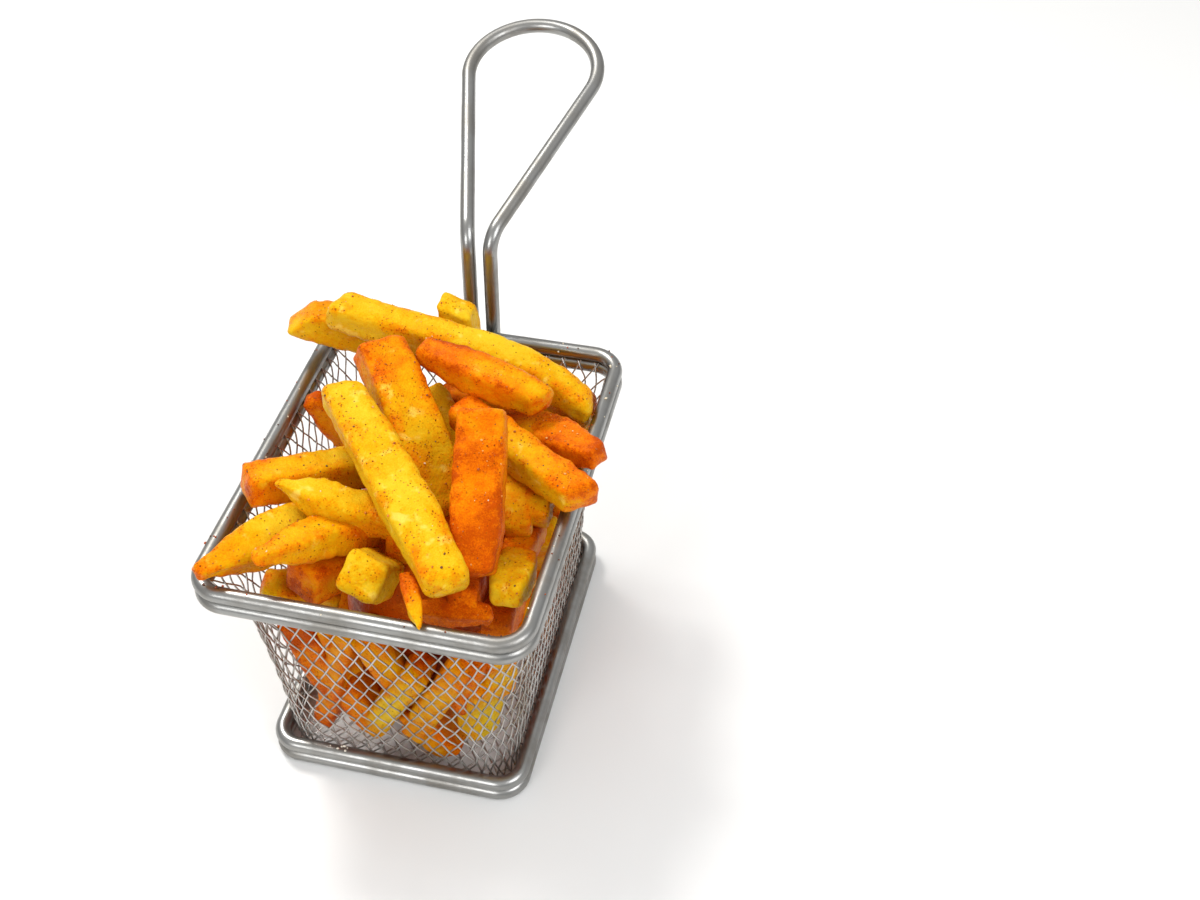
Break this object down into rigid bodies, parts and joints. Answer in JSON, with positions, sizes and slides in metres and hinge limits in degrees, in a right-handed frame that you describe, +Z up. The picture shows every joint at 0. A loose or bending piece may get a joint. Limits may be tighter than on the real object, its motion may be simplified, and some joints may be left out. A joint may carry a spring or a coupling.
{
  "type": "french fries in serving basket",
  "caption": "Portion of thick-cut french fries heaped in a small woven wire basket with a teardrop loop handle leaning back.",
  "frame": {"origin": "on the floor, below the middle of the whole part's bounding box", "axes": "+Z up, +Y towards the back, where the handle is, +X to the right when seen from the front"},
  "size_m": [0.1112, 0.2262, 0.1494],
  "materials": {
    "frame_wire": "satin polished round wire",
    "woven_wire": "fine woven wire, slightly stained by frying oil",
    "fries": "crisp fried potato, golden yellow to orange, with a little oil sheen"
  },
  "bodies": {
    "root": {"rim_wire_upper": "frame_wire", "rim_wire_lower": "frame_wire", "base_wire_upper": "frame_wire", "base_wire_lower": "frame_wire", "handle": "frame_wire", "woven_tub": "woven_wire", "fries_heap": "fries"}
  },
  "joints": []
}
